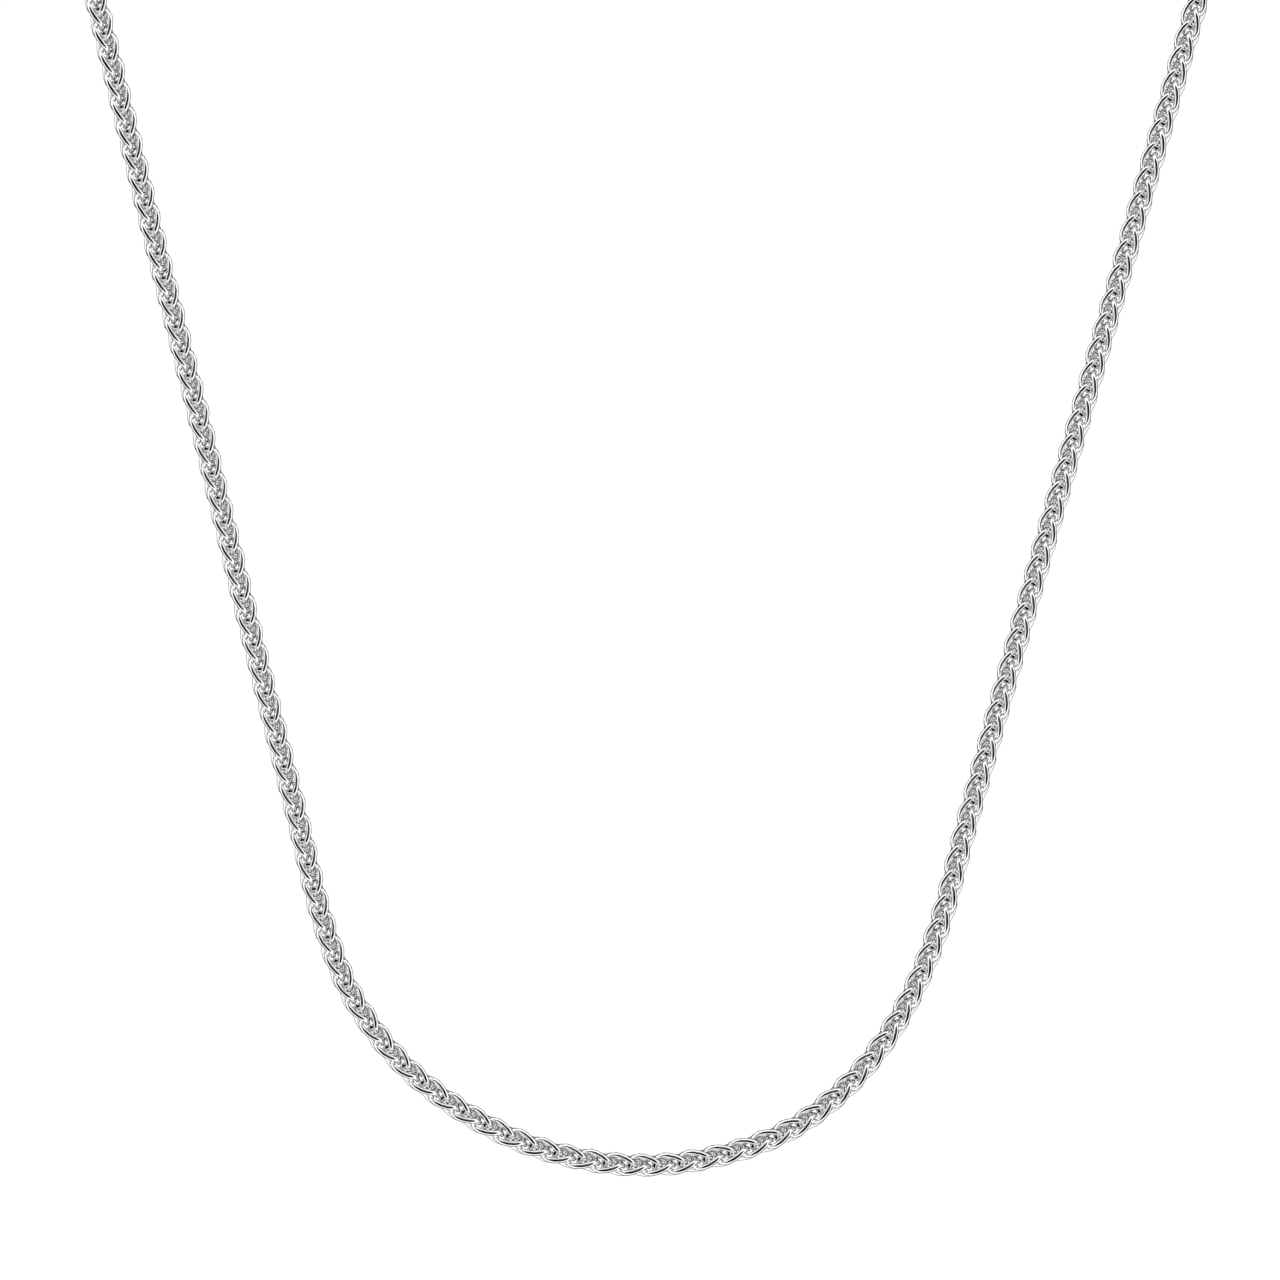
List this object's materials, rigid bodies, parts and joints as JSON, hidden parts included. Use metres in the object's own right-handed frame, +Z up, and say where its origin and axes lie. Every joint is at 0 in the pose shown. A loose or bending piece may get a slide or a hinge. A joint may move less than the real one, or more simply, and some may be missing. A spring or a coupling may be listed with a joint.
{
  "type": "wheat chain necklace",
  "caption": "Polished silver wheat chain in a closed neck loop, with soldered end links, two rings and a closed clasp at the nape.",
  "frame": {"origin": "middle of the clasp at the nape, on the side that lies against the neck, where the loop hangs", "axes": "+Z up, -Y to the front of the wearer, +X to the wearer's left, which is the right of the picture"},
  "size_m": [0.1085, 0.1201, 0.1438],
  "materials": {
    "chain_silver": "polished woven silver wire",
    "ring_silver": "polished silver",
    "clasp_silver": "polished silver, tumbled"
  },
  "bodies": {
    "root": {"chain": "chain_silver", "end_link_left": "ring_silver", "end_link_right": "ring_silver", "jump_ring": "ring_silver", "catch_ring": "ring_silver", "clasp": "clasp_silver"}
  },
  "joints": []
}
